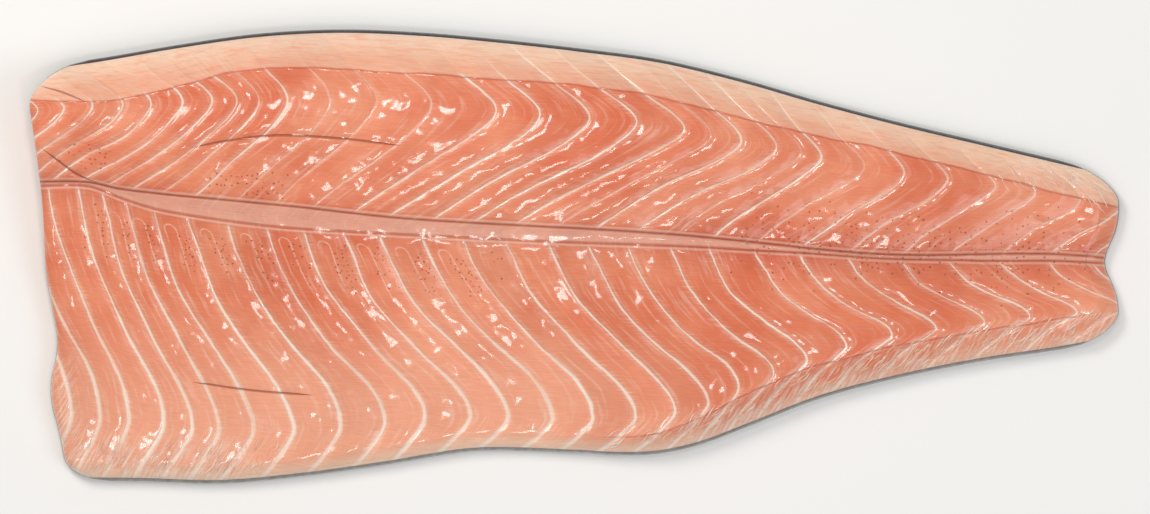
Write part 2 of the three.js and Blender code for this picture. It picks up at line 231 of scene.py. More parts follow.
# Top of the flesh without its flakes, where its row runs from head to tail
def fleshTop(x, y, head, tail):
    w = across(x, y)
    solid = smoothstep(x, *thickness["flapEnds"])
    share = np.where(w > 0, backShare(w), lerp(flapShare(-w), tailShare(-w), solid))
    proud = skinShape["proud"]

    def ramp(distance, width, power):
        return np.clip(distance / width, 0, 1) ** power

    fromBack = ramp(backEdge(x) - proud - y, backBevel(x) - proud, bevels["backRise"])
    fromBelly = ramp(y - bellyEdge(x) - proud, bellyBevel(x) - proud,
                     lerp(bevels["flapRise"], bevels["backRise"], solid))
    fromTail = ramp(tail - x, bevels["tail"], bevels["tailRise"])
    high = lerp(thickness["edge"], loinThickness(x) * share, fromBack * fromBelly * fromTail)
    width, drop = thickness["headRounding"]
    headDrop = drop * (1 - np.clip((x - head) / width, 0, 1)) ** 2
    offMiddle = np.abs(y - midline(x)) / (channelHalf(x) + channel["shoulder"])
    groove = channel["depth"] * np.maximum(1 - offMiddle, 0) ** 0.5
    waves = thickness["waves"]
    wave = (waves["height"] * np.sin(x / waves["along"] + waves["alongStart"])
            * np.cos(y / waves["across"] + waves["acrossStart"]))
    for hollowX, hollowY, long, wide, depth in thickness["hollows"]:
        wave = wave - depth * np.exp(-((x - hollowX) / long) ** 2 - ((y - hollowY) / wide) ** 2)
    return fleshUnderside(x, y) + high - headDrop - groove * fromTail + wave * fromBack * fromBelly * fromTail


# Where each flake starts on the midline
starts = [flakes["start"]]
while starts[-1] < outline["tailX"]:
    share, beat = flakes["lengthSpread"]
    starts.append(starts[-1] + flakeLength(starts[-1]) * (1 + share * math.sin((len(starts) - 1) * beat)))
starts = np.array([float(s) for s in starts])


# How far back the flake that starts at start has run, at a share w of the way across
def flakeShift(start, w):
    wobble = flakes["wobble"] * np.sin(w * 13 + start * 0.11) * np.sin(w * 5 - start * 0.047) * smoothstep(
        np.abs(w), 0, 0.12)
    return wobble + np.where(w > 0, loinReach(start) * loinBend(np.maximum(w, 0)),
                             bellyReach(start) * bellyBend(np.maximum(-w, 0) / bellyTurn(start)))


# The number of the flake at a place, whole at a fat line
def flakeNumber(x, y):
    w = across(x, y)
    start = settle(x, lambda s: x - flakeShift(s, w))
    return np.interp(start, starts, np.arange(len(starts)))


# How strong the fat lines are at a place
def lineStrength(number, w):
    lines = np.arange(len(starts))
    return np.where(w > 0, np.interp(number, lines, [flakes["faint"].get(n, 1.0) for n in lines]), 1.0)


# Short cuts in the surface, y over x: two in the loin and flap, the fork of the channel, a fold in the corner
cuts = {
    "lines": [[[-192, 54], [-170, 58], [-147, 60.3], [-115, 58.6], [-85, 55]],
              [[-192, -62.6], [-160, -67], [-129, -69.4]],
              [[-268, 56], [-257, 47.5], [-248, 41], [-236, 36]],
              [[-268, 85.5], [-254, 81.5], [-240, 75.5]]],
    "taper": 12,
    "reach": (3, 6),
    "furrow": (0.5, 1.6),  # depth and half width of the dip that a cut lies in
}


# The distance across the nearest cut, and how open the cut is there
def nearCut(x, y):
    offCut, opening = np.full(np.shape(x), 99.0), np.zeros(np.shape(x))
    for stations in cuts["lines"]:
        off = y - curve(stations)(x)
        near = window(x, stations[0][0], stations[-1][0], cuts["taper"]) * (
            1 - smoothstep(np.abs(off), *cuts["reach"]))
        offCut, opening = np.where(near > opening, off, offCut), np.maximum(near, opening)
    return offCut, opening


# The flesh: a fine grid whose columns follow the flakes
fleshMesh = {
    "rows": (18, 56, 6, 60, 12),  # in the strips from the back edge and crease to the belly crease and edge
    "phases": [0, 0.025, 0.06, 0.11, 0.17, 0.25, 0.34, 0.43, 0.52, 0.61, 0.7, 0.78, 0.85, 0.91, 0.955, 0.982],
    "endColumns": [0, 0.5, 1.2, 2.2, 3.4, 4.8],
    "firstColumn": 6.2,
    "wallRings": 8,
    "bulge": 0.5,
    "underRings": [5, 12, 22, 36],
    "lumps": [(0.16, 19), (0.09, 8.5)],  # height and size of the unevenness
    "lumpFade": (1, 8),  # mm from the edges where it starts and is full
    "lumpWaves": (7, 2.6),  # how many waves a size has, and what their sum is divided by
    "edgeCrowding": 1.35,  # crowds the rows towards the long edges
}


def guideLines():
    proud = skinShape["proud"]
    return [lambda x: backEdge(x) - proud, lambda x: backEdge(x) - backBevel(x),
            lambda x: midline(x) + channelHalf(x), lambda x: midline(x) - channelHalf(x),
            lambda x: bellyEdge(x) + bellyBevel(x), lambda x: bellyEdge(x) + proud]


# y of every row over x, as a function of the array of x
def rowMaker():
    lines = guideLines()
    strip = np.concatenate([np.full(n, i) for i, n in enumerate(fleshMesh["rows"])] + [[4]])
    share = np.concatenate([np.arange(n) / n for n in fleshMesh["rows"]] + [[1.0]])
    crowding = fleshMesh["edgeCrowding"]
    share = np.where(strip == 0, share ** crowding, np.where(strip == 4, 1 - (1 - share) ** crowding, share))

    def rowY(x):
        y = np.array([line(x) for line in lines])
        i = np.arange(len(strip))
        return lerp(y[strip, i], y[strip + 1, i], share)

    return rowY, len(strip)


# Gentle unevenness, the sum of waves in seeded directions
def unevenness(x, y):
    height = np.zeros(np.shape(x))
    waves, divisor = fleshMesh["lumpWaves"]
    for amount, size in fleshMesh["lumps"]:
        for _ in range(waves):
            turn, phase, stretch = rng.uniform(0, math.pi), rng.uniform(0, 6.28), rng.uniform(0.7, 1.4)
            height = height + amount / divisor * np.sin(
                (x * math.cos(turn) + y * math.sin(turn)) * 2 * math.pi / (size * stretch) + phase)
    return height


def reliefAt(x, y, tail):
    number = flakeNumber(x, y)
    share, beat = flakes["reliefSpread"]
    fade = flakes["fade"]
    proud = skinShape["proud"]
    strength = (smoothstep(np.abs(y - midline(x)) - channelHalf(x), 0, fade["channel"])
                * smoothstep(backEdge(x) - y, proud, fade["back"])
                * smoothstep(y - bellyEdge(x), proud, fade["belly"])
                * smoothstep(tail - x, 0, bevels["tail"]))
    strength = strength * lerp(flakes["faintRelief"], 1, lineStrength(number, across(x, y)))
    return flakeRelief(number % 1) * strength * (1 + share * np.sin(np.floor(number) * beat))


def selectNone():
    bpy.ops.object.select_all(action="DESELECT")


smoothAngle = math.radians(50)  # edges turned more than this stay sharp


# The piece's vertices as an array in mm, and back
def readPoints(piece):
    points = np.empty(len(piece.data.vertices) * 3)
    piece.data.vertices.foreach_get("co", points)
    return points.reshape(-1, 3) / mm


def writePoints(piece, points):
    piece.data.vertices.foreach_set("co", (points * mm).ravel())
    piece.data.update()


def chosen(piece):
    flags = np.empty(len(piece.data.vertices), bool)
    piece.data.vertices.foreach_get("select", flags)
    return flags


# A grid primitive with its vertices moved to these places in mm, in rows from the back edge to the belly edge
def gridPiece(name, x, y, z):
    rows, columns = x.shape[0] - 1, x.shape[1] - 1
    selectNone()
    bpy.ops.mesh.primitive_grid_add(x_subdivisions=columns, y_subdivisions=rows, size=2)
    piece = bpy.context.object
    piece.name = piece.data.name = name
    grid = readPoints(piece) * mm
    column = np.rint((grid[:, 0] + 1) / 2 * columns).astype(int)
    row = np.rint((1 - grid[:, 1]) / 2 * rows).astype(int)
    writePoints(piece, np.column_stack([x[row, column], y[row, column], z[row, column]]))
    return piece


# x and y moved in from one distance off the outline to another
def takeIn(x, y, fromInset, inset):
    back, belly = backEdge(x) - fromInset, bellyEdge(x) + fromInset
    v = (y - belly) / (back - belly)

    def rowAt(by):
        return lambda x: lerp(bellyEdge(x) + by, backEdge(x) - by, v)

    ends = skinShape["endProud"] - skinShape["proud"]
    head, tail = rowEnds(rowAt(fromInset), fromInset + ends, len(x))
    innerHead, innerTail = rowEnds(rowAt(inset), inset + ends, len(x))
    newX = lerp(innerHead, innerTail, np.clip((x - head) / (tail - head), 0, 1))
    return newX, rowAt(inset)(newX)


def buildFlesh():
    rowY, rowCount = rowMaker()
    head, tail = rowEnds(rowY, skinShape["endProud"], rowCount)
    # Columns: the end columns, then every phase of every flake, held between the cuts
    lengths = np.diff(starts)
    columnStarts = (starts[:-1, None] + lengths[:, None] * np.array(fleshMesh["phases"])).ravel()
    ends = np.array(fleshMesh["endColumns"])
    first, last = head + fleshMesh["firstColumn"], tail - fleshMesh["firstColumn"]
    columns = [head + d for d in ends]
    for start in columnStarts:
        x = settle(np.full(rowCount, start), lambda x: start + flakeShift(start, across(x, rowY(x))))
        columns.append(np.clip(x, first, last))
    columns += [tail - d for d in ends[::-1]]
    x = np.array(columns).T
    y = np.array([rowY(column) for column in columns]).T
    tails = np.broadcast_to(tail[:, None], x.shape)
    heads = np.broadcast_to(head[:, None], x.shape)
    z = fleshTop(x, y, heads, tails) + reliefAt(x, y, tails)
    fromEdge = np.minimum.reduce([backEdge(x) - y, y - bellyEdge(x), x - heads, tails - x])
    rim = smoothstep(fromEdge, *fleshMesh["lumpFade"])
    z = z + unevenness(x, y) * rim
    offCut, opening = nearCut(x, y)
    depth, halfWidth = cuts["furrow"]
    z = z - depth * opening * np.exp(-(offCut / halfWidth) ** 2)
    piece = gridPiece("fleshOfFillet", x, y, z)
    bpy.ops.object.mode_set(mode="EDIT")
    bpy.ops.mesh.select_all(action="SELECT")
    bpy.ops.mesh.remove_doubles(threshold=0.02 * mm)
    bpy.ops.mesh.select_all(action="SELECT")
    bpy.ops.mesh.region_to_loop()
    # The wall, then rings along the underside, then the flat rest of it
    rings = fleshMesh["wallRings"]
    insets = [-fleshMesh["bulge"] * math.sin(math.pi * n / rings) for n in range(rings + 1)]
    insets = [skinShape["proud"] + inset for inset in insets + fleshMesh["underRings"]]
    for n in range(len(insets) - 1):
        bpy.ops.mesh.extrude_region_move()
        bpy.ops.object.mode_set(mode="OBJECT")
        points = readPoints(piece)
        new = chosen(piece)
        px, py, pz = points[new].T
        px, py = takeIn(px, py, insets[n], insets[n + 1])
        pz = lerp(pz, fleshUnderside(px, py), 1 / max(rings - n, 1))
        points[new] = np.column_stack([px, py, pz])
        writePoints(piece, points)
        bpy.ops.object.mode_set(mode="EDIT")
    bpy.ops.mesh.edge_face_add()
    bpy.ops.mesh.select_all(action="SELECT")
    bpy.ops.mesh.remove_doubles(threshold=0.01 * mm)
    bpy.ops.mesh.normals_make_consistent(inside=False)
    bpy.ops.object.mode_set(mode="OBJECT")
    return piece


flesh = buildFlesh()


# Fields over the flesh, kept on its vertices for the material: distances and places in mm, shares from 0 to 1
fields = {
    "step": 0.4,  # for slopes
    # Where pits lie: x from and to, mm above the midline from and to, and how many cells hold one
    "pitsAbove": [(-262, -226, 5, 22, 0.5), (-186, -133, 6, 24, 0.55)],
    "pitsBelow": (-250, -32, -8, -36, 0.8),
    "pitsPhase": (0.38, 0.92, 0.12),  # between two fat lines
    "hooks": (-245, -40),  # x from and to
    "pitsTail": (70, 268, 15, 0.42),
    "bevelLines": (-55, 165, 0.7),  # the fat lines cross the back bevel here, and how strongly
    "slack": 1.2,  # mm under the smooth top that still counts as the top
    "redHalf": (7, 11),  # mm: half width of the red flesh by the midline, at the head and the tail
    "paleFlap": (0.25, 0.8),  # share of the way to the belly edge
    "fatEdges": ((4, 17), (3, 11), (0.9, 0.6)),  # mm off the back and the belly edge, share at head and tail
    "fatBase": 3,  # mm over the skin
    # Frayed at the head cut, mm off it and y; then along the edges: x where it comes and goes, mm off the edge
    "frayHead": ((3, 16), (-125, -40, 25)),
    "fray": [("belly", (-268, -238), (-180, -150), (8, 30)), ("belly", (15, 90), (300, 301), (5, 22)),
             ("back", (205, 250), (300, 301), (4, 20))],
    "strands": (-38, 58),  # direction of the frayed strands in degrees, by the back and by the belly
    "lowLine": (5, 40, 250, 268),  # the crease low on the tail starts and ends here
    "tailCrease": (-6, 26),  # mm over and under the axis
    "net": (-264, -80, 25),  # threads of muscle in the fat on the back
}


# A vector on every vertex
def addField(piece, name, a, b, c):
    field = piece.data.attributes.new(name, "FLOAT_VECTOR", "POINT")
    field.data.foreach_set("vector", np.column_stack([a, b, c]).ravel())


def layFleshFields(piece):
    x, y, z = readPoints(piece).T
    head, tail = headX(x, y, skinShape["endProud"]), tailX(x, y, skinShape["endProud"])
    depth = np.maximum(fleshTop(x, y, head, tail) - z - fields["slack"], 0)
    deepX = x + flakes["depthSlope"] * depth
    number = flakeNumber(deepX, y)
    step = fields["step"]
    slopeX = (flakeNumber(deepX + step, y) - flakeNumber(deepX - step, y)) / (2 * step)
    slopeY = (flakeNumber(deepX, y + step) - flakeNumber(deepX, y - step)) / (2 * step)
    off = y - midline(x)
    addField(piece, "flake", number, 1 / np.hypot(slopeX, slopeY), off)
    fromBack, fromBelly = backEdge(x) - y, y - bellyEdge(x)
    addField(piece, "crease", fromBack - backBevel(x), fromBelly - bellyBevel(x), np.abs(off) - channelHalf(x))
    # How pale the flap is, how red the flesh by the midline is, how fat the trimmed edges are
    solid = smoothstep(x, *thickness["flapEnds"])
    w = across(x, y)
    flap = smoothstep(-w, *fields["paleFlap"]) * (1 - solid)
    red = np.exp(-(off / lerp(*fields["redHalf"], solid)) ** 2)
    above = z - fleshUnderside(x, y)
    byBack, byBelly, bellyShare = fields["fatEdges"]
    base = fields["fatBase"]
    fat = np.maximum(1 - smoothstep(fromBack, *byBack),
                     (1 - smoothstep(fromBelly, *byBelly)) * lerp(*bellyShare, solid))
    fat = np.maximum(fat * smoothstep(above, 0, base), smoothstep(base - above, 0, base))
    addField(piece, "zone", flap, red, fat)
    reach, beside = fields["frayHead"]
    fray = (1 - smoothstep(x - head, *reach)) * window(y, *beside)
    for edge, comes, goes, reach in fields["fray"]:
        along = smoothstep(x, *comes) * (1 - smoothstep(x, *goes))
        fray = np.maximum(fray, along * (1 - smoothstep(fromBelly if edge == "belly" else fromBack, *reach)))
    offCut, opening = nearCut(x, y)
    addField(piece, "mark", offCut, opening, fray)
    turn = np.radians(np.where(off > 0, *fields["strands"]))
    lineFrom, lineFull, lineFades, lineEnds = fields["lowLine"]
    addField(piece, "streak", x * np.sin(turn) - y * np.cos(turn), x * np.cos(turn) + y * np.sin(turn),
             smoothstep(x, lineFrom, lineFull) * (1 - smoothstep(x, lineFades, lineEnds)))
    # Pits and pores
    pits = np.zeros(len(x))
    for fromX, toX, low, high, share in fields["pitsAbove"]:
        pits = np.maximum(pits, share * window(x, fromX, toX, 8) * window(off, low, high, 5))
    fromX, toX, high, low, share = fields["pitsBelow"]
    pits = np.maximum(pits, share * window(x, fromX, toX, 12) * window(off, low, high, 7)
                      * window(number % 1, *fields["pitsPhase"]))
    fromX, toX, reach, share = fields["pitsTail"]
    pits = np.maximum(pits, share * window(x, fromX, toX, 25) * np.exp(-((off - 2) / reach) ** 2))
    pits = pits * (depth < 1)
    fromX, toX, share = fields["bevelLines"]
    bevelLines = share * window(x, fromX, toX, 30)
    low, high = fields["tailCrease"]
    tailOff = np.where((y > low) & (y < high), tail - x - bevels["tail"], 99)  # 99 where it has none
    addField(piece, "speck", pits, tailOff, bevelLines)
    net = window(x, *fields["net"]) * smoothstep(backBevel(x) - fromBack, -1, 4)
    hooks = window(x, *fields["hooks"], 12) * (off < 0) * (depth < 1)
    addField(piece, "line", lineStrength(number, w), hooks, net)


layFleshFields(flesh)
selectNone()
flesh.select_set(True)
bpy.context.view_layer.objects.active = flesh
bpy.ops.object.shade_smooth_by_angle(angle=smoothAngle)
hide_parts("flesh")
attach(flesh, "root")
print("flesh:", len(flesh.data.vertices), "vertices", len(flesh.data.polygons), "faces")


# Torn strands that lie on the trimmed edges: x from and to, edge, mm off the edge, direction, how many,
# and how they crowd towards the first x (over 1) or the second (under 1)
tornStrands = {
    "patches": [(-258, -150, "belly", (2.6, 15), 62, 110, 1.8), (10, 262, "belly", (2.6, 14), 44, 200, 0.8),
                (205, 262, "back", (3, 15), -48, 46, 0.6)],
    "turn": 9,  # degrees that the direction varies
    "length": (4, 12),
    "width": (0.3, 0.7),
    "thick": 0.32,
    "lift": (0.03, 0.3),
    "sink": 0.12,
    "bend": 1.2,
    "margin": 2.4,  # mm that they keep off the outline
    "sides": 5,
    "cuts": 6,
}


def strandTemplate():
    bpy.ops.mesh.primitive_cylinder_add(vertices=tornStrands["sides"], radius=0.5 * mm, depth=mm,
                                        end_fill_type="TRIFAN")
    piece = bpy.context.object
    points = readPoints(piece)
    bpy.ops.object.mode_set(mode="EDIT")
    bpy.ops.mesh.select_mode(type="EDGE")
    bpy.ops.mesh.select_all(action="DESELECT")
    bpy.ops.object.mode_set(mode="OBJECT")
    for edge in piece.data.edges:
        a, b = edge.vertices
        edge.select = bool(abs(points[a, 2] - points[b, 2]) > 0.5)
    bpy.ops.object.mode_set(mode="EDIT")
    bpy.ops.mesh.subdivide(number_cuts=tornStrands["cuts"])
    bpy.ops.mesh.select_mode(type="VERT")
    bpy.ops.object.mode_set(mode="OBJECT")
    return piece


def buildStrands():
    draw = np.random.default_rng(5)
    selectNone()
    template = strandTemplate()
    shape = readPoints(template)
    along = shape[:, 2] + 0.5
    taper = np.sin(math.pi * np.clip(along, 0.03, 0.97)) ** 0.6
    copies = []
    for fromX, toX, edge, reach, direction, count, crowd in tornStrands["patches"]:
        left = count
        while left:
            x0, off = lerp(fromX, toX, draw.uniform() ** crowd), draw.uniform(*reach)
            turn = math.radians(direction + draw.normal(0, tornStrands["turn"]))
            length, width, lift = (draw.uniform(*tornStrands[key]) for key in ("length", "width", "lift"))
            bend = draw.uniform(-1, 1) * tornStrands["bend"]
            y0 = float(bellyEdge(x0) + off if edge == "belly" else backEdge(x0) - off)
            side = shape[:, 0] * taper * width + bend * np.sin(math.pi * along)
            x = x0 + along * length * math.cos(turn) - side * math.sin(turn)
            y = y0 + along * length * math.sin(turn) + side * math.cos(turn)
            margin = tornStrands["margin"]
            head, tail = headX(x, y, margin), tailX(x, y, margin)
            if np.any((x < head) | (x > tail) | (y < bellyEdge(x) + margin) | (y > backEdge(x) - margin)):
                continue
            left -= 1
            head, tail = headX(x, y, skinShape["endProud"]), tailX(x, y, skinShape["endProud"])
            high = fleshTop(x, y, head, tail) + reliefAt(x, y, tail)
            z = (high + (tornStrands["sink"] + lift) * np.sin(math.pi * along) - tornStrands["sink"]
                 + shape[:, 1] * taper * tornStrands["thick"])
            strand = template.copy()
            strand.data = template.data.copy()
            bpy.context.collection.objects.link(strand)
            writePoints(strand, np.column_stack([x, y, z]))
            copies.append(strand)
    selectNone()
    for strand in copies:
        strand.select_set(True)
    bpy.context.view_layer.objects.active = copies[0]
    bpy.ops.object.join()
    piece = bpy.context.object
    piece.name = piece.data.name = "tornStrands"
    bpy.data.objects.remove(template)
    bpy.ops.object.mode_set(mode="EDIT")
    bpy.ops.mesh.select_all(action="SELECT")
    bpy.ops.mesh.normals_make_consistent(inside=False)
    bpy.ops.object.mode_set(mode="OBJECT")
    bpy.ops.object.shade_smooth()
    return piece


strands = buildStrands()
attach(strands, "root")
print("torn strands:", len(strands.data.vertices), "vertices", len(strands.data.polygons), "faces")


# A grid over the outline, columns from the head cut to the tail end, then given its thickness
def buildSkin():
    columns, rows = skinShape["columns"], skinShape["rows"]
    evenColumns, evenRows = skinShape["evenness"]
    share = (1 - np.cos(np.linspace(0, math.pi, rows + 1))) / 2
    share = lerp(share, np.linspace(0, 1, rows + 1), evenRows)

    def rowY(x):
        return lerp(backEdge(x), bellyEdge(x), share)

    head, tail = rowEnds(rowY, 0, rows + 1)
    along = (1 - np.cos(np.linspace(0, math.pi, columns + 1))) / 2
    along = lerp(along, np.linspace(0, 1, columns + 1), evenColumns)
    x = np.array([lerp(head, tail, t) for t in along]).T
    y = np.array([rowY(column) for column in x.T]).T
    piece = gridPiece("skinOfFillet", x, y, curl(x, y))
    wall = piece.modifiers.new("thickness", "SOLIDIFY")
    wall.thickness = skinShape["thick"] * mm
    wall.offset = 1
    bpy.ops.object.modifier_apply(modifier=wall.name)
    return piece


skin = buildSkin()
skinX, skinY = readPoints(skin).T[:2]
addField(skin, "side", across(skinX, skinY), skinY - midline(skinX), np.zeros(len(skinX)))
bpy.ops.object.shade_smooth_by_angle(angle=smoothAngle)
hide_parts("skin")
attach(skin, "root")
print("skin:", len(skin.data.vertices), "vertices", len(skin.data.polygons), "faces")


# Colours are sRGB hex, turned to the linear values that the shader takes
def hexColour(text):
    channels = [int(text[i:i + 2], 16) / 255 for i in (1, 3, 5)]
    return [c / 12.92 if c <= 0.04045 else ((c + 0.055) / 1.055) ** 2.4 for c in channels] + [1]


# A noise of this size in mm, on Object coordinates, which are in metres
def perSize(size):
    return 1 / (size * mm)


# Adds a node with its settings and links, and gives back one of its outputs, or the node for output None
def addNode(tree, kind, inputs=None, output=0, **settings):
    node = tree.nodes.new("ShaderNode" + kind)
    for name, value in settings.items():
        setattr(node, name, value)
    for key, value in (inputs or {}).items():
        if isinstance(value, bpy.types.NodeSocket):
            tree.links.new(value, node.inputs[key])
        elif isinstance(value, str):
            node.inputs[key].default_value = hexColour(value)
        else:
            node.inputs[key].default_value = value
    return node if output is None else node.outputs[output]


# Settings that many nodes share: soft edged masks, products and colour mixes
softEdge = {"interpolation_type": "SMOOTHSTEP"}
times = {"operation": "MULTIPLY"}
tinted = {"output": 2, "data_type": "RGBA"}
wetTissue = {"ior": 1.38, "radius": (1, 0.36, 0.2)}  # red light goes furthest into it


def newMaterial(name):
    material = bpy.data.materials.new(name)
    material.use_nodes = True
    tree = material.node_tree
    tree.nodes.clear()
    return material, lambda *args, **settings: addNode(tree, *args, **settings)


# A colour made lighter or darker by a factor
def toned(node, colour, factor):
    grey = node("CombineColor", {0: factor, 1: factor, 2: factor})
    return node("Mix", {0: 1.0, 6: colour, 7: grey}, blend_type="MULTIPLY", **tinted)


# Raw Atlantic salmon muscle, cut and rinsed: translucent orange pink with pale fat between the flakes,
# and a film of moisture that gives soft highlights
fleshLook = {
    "light": "#EC9570",
    "deep": "#DC7048",
    "flap": "#EFAB8B",
    "red": "#BF5238",
    "fat": "#F8DFCC",
    "edgeFat": "#F3D2B6",
    "membrane": "#EFBDA6",
    "shade": "#B4573A",
    "pit": "#A84C31",
    "roughness": 0.36,
    "subsurface": 0.3,
    "subsurfaceScale": 4.0,
    "coat": 0.7,
    "coatRoughness": 0.1,
    "film": (8, 0.42),  # mm: size and height of its waves
    "lineWidth": (0.42, 0.5, 0.35),  # mm: half a fat line in the loin, more in the flap, how much it varies
    "lineWaver": 0.032,  # share of a flake
    "haloReach": 3.6,  # mm
    "creaseWaver": 1.6,  # mm
    "creaseHalf": 0.75,  # mm
    "cutHalf": 0.75,  # mm
    "fibre": (0.62, 8),  # mm across and along the muscle fibres
    "pitEvery": 2.6,  # mm
    "hookPhase": 0.52,
    "hook": (2.6, 13, (3, 20)),  # mm: its radius, its centre below the midline, how far down its two legs go
    "flakeSize": 19,  # mm, for patterns that run with the flakes
}


def rawSalmonFlesh():
    look = fleshLook
    material, node = newMaterial("raw salmon muscle")
    place = node("TexCoord", output=3)

    def split(name):
        return node("SeparateXYZ", {0: node("Attribute", output=1, attribute_name=name)}, None).outputs

    # 1 within half a width of a line that is given by the distance to it, all in mm
    def onLine(distance, halfWidth):
        size = node("Math", {0: distance}, operation="ABSOLUTE")
        return node("MapRange", {0: size, 1: halfWidth, 2: 0.0}, **softEdge)

    number, flakeSize, offMiddle = split("flake")
    backCrease, bellyCrease, channelEdge = split("crease")
    flap, red, fatEdge = split("zone")
    knife, opening, fray = split("mark")
    acrossStreak, alongStreak, bellyLine = split("streak")
    pits, tailCrease, bevelLines = split("speck")
    lineShare, hooked, netted = split("line")

    # Distance to the nearest fat line in mm, with a slight waver
    waver = node("MapRange", {0: node("TexNoise", {"Vector": place, "Scale": perSize(7), "Detail": 2}),
                              3: -look["lineWaver"], 4: look["lineWaver"]})
    wavering = node("Math", {0: number, 1: waver}, operation="ADD")
    fromLine = node("Math", {0: wavering, 1: 0.5}, operation="PINGPONG")
    fromLine = node("Math", {0: fromLine, 1: flakeSize}, **times)
    loinWidth, flapMore, varies = look["lineWidth"]
    width = node("TexNoise", {"Vector": place, "Scale": perSize(13), "Detail": 2})
    width = node("MapRange", {0: width, 1: 0.3, 2: 0.7, 3: loinWidth - varies / 2, 4: loinWidth + varies / 2})
    width = node("Math", {0: flap, 1: flapMore, 2: width}, operation="MULTIPLY_ADD")
    line = node("MapRange", {0: fromLine, 1: node("Math", {0: width, 1: 1.7}, **times),
                             2: node("Math", {0: width, 1: 0.5}, **times)}, **softEdge)
    halo = node("MapRange", {0: fromLine, 1: look["haloReach"], 2: 0.3}, **softEdge)
    # They end at the channel and fade over the bevels and in places
    strength = node("MapRange", {0: channelEdge, 1: 0.4, 2: 4}, **softEdge)
    overBevel = node("MapRange", {0: backCrease, 1: -3, 2: 1.5}, **softEdge)
    overBevel = node("Math", {0: overBevel, 1: bevelLines}, operation="MAXIMUM")
    fading = node("TexNoise", {"Vector": place, "Scale": perSize(34), "Detail": 1})
    fading = node("MapRange", {0: fading, 1: 0.3, 2: 0.6, 3: 0.6, 4: 1})
    for share in (overBevel, fading, lineShare):
        strength = node("Math", {0: strength, 1: share}, **times)
    line = node("Math", {0: line, 1: strength}, **times)
    halo = node("Math", {0: halo, 1: strength}, **times)

    # Marbling in streaks along the fat lines, and muscle fibres from one line to the next
    alongFlakes = node("Math", {0: wavering, 1: look["flakeSize"]}, **times)
    streaks = node("CombineXYZ", {0: alongFlakes, 1: node("Math", {0: offMiddle, 1: 0.12}, **times)})
    marbling = node("TexNoise", {"Vector": streaks, "Scale": 0.42, "Detail": 3, "Roughness": 0.6})
    marbling = node("MapRange", {0: marbling, 1: 0.5, 2: 0.76}, **softEdge)
    fibreWide, fibreLong = look["fibre"]
    fibres = node("CombineXYZ", {0: node("Math", {0: alongFlakes, 1: 1 / fibreLong}, **times),
                                 1: node("Math", {0: offMiddle, 1: 1 / fibreWide}, **times)})
    fibre = node("TexNoise", {"Vector": fibres, "Scale": 1, "Detail": 3, "Distortion": 0.3})
    # No two flakes have quite the same tone
    flakeTone = node("Math", {0: number}, operation="FLOOR")
    flakeTone = node("TexWhiteNoise", {"W": flakeTone}, noise_dimensions="1D")

    # Channel of the backbone, creases of the bevels, knife marks
    inChannel = node("MapRange", {0: channelEdge, 1: 0.4, 2: -0.5}, **softEdge)
    channelLine = onLine(channelEdge, 0.9)
    lip = onLine(node("Math", {0: channelEdge, 1: -1.5}, operation="ADD"), 1.1)
    bend = node("TexNoise", {"Vector": place, "Scale": perSize(22), "Detail": 2})
    bend = node("MapRange", {0: bend, 3: -look["creaseWaver"], 4: look["creaseWaver"]})
    fromCrease = node("Math", {0: backCrease, 1: bend}, operation="ADD")
    backLine = onLine(fromCrease, look["creaseHalf"])
    backFat = node("MapRange", {0: fromCrease, 1: 0.4, 2: -1.2}, **softEdge)
    lowLine = onLine(node("Math", {0: bellyCrease, 1: bend}, operation="ADD"), look["creaseHalf"])
    lowLine = node("Math", {0: lowLine, 1: bellyLine}, **times)
    endLine = onLine(tailCrease, 0.8)
    cutWidth = node("Math", {0: opening, 1: look["cutHalf"], 2: 0.01}, operation="MULTIPLY_ADD")
    cut = node("MapRange", {0: node("Math", {0: knife}, operation="ABSOLUTE"), 1: cutWidth, 2: 0.0}, **softEdge)
    # Frayed tissue along the trimmed edges: pale strands
    strands = node("CombineXYZ", {0: acrossStreak, 1: node("Math", {0: alongStreak, 1: 0.09}, **times)})
    strand = node("TexNoise", {"Vector": strands, "Scale": 0.8, "Detail": 3, "Roughness": 0.6})
    strand = node("MapRange", {0: strand, 1: 0.44, 2: 0.62}, **softEdge)
    strand = node("Math", {0: strand, 1: fray}, **times)
    # Pits of pin bones and rib ends, and pores: cells of which only some hold one
    cells = node("TexVoronoi", {"Vector": place, "Scale": perSize(look["pitEvery"])}, None,
                 voronoi_dimensions="2D")
    chance = node("SeparateColor", {0: cells.outputs["Color"]})
    there = node("Math", {0: pits, 1: chance}, operation="GREATER_THAN")
    dotSize = node("MapRange", {0: node("SeparateColor", {0: cells.outputs["Color"]}, 1), 3: 0.12, 4: 0.27})
    dot = node("MapRange", {0: cells.outputs["Distance"], 1: dotSize, 2: 0.03}, **softEdge)
    dot = node("Math", {0: dot, 1: there}, **times)
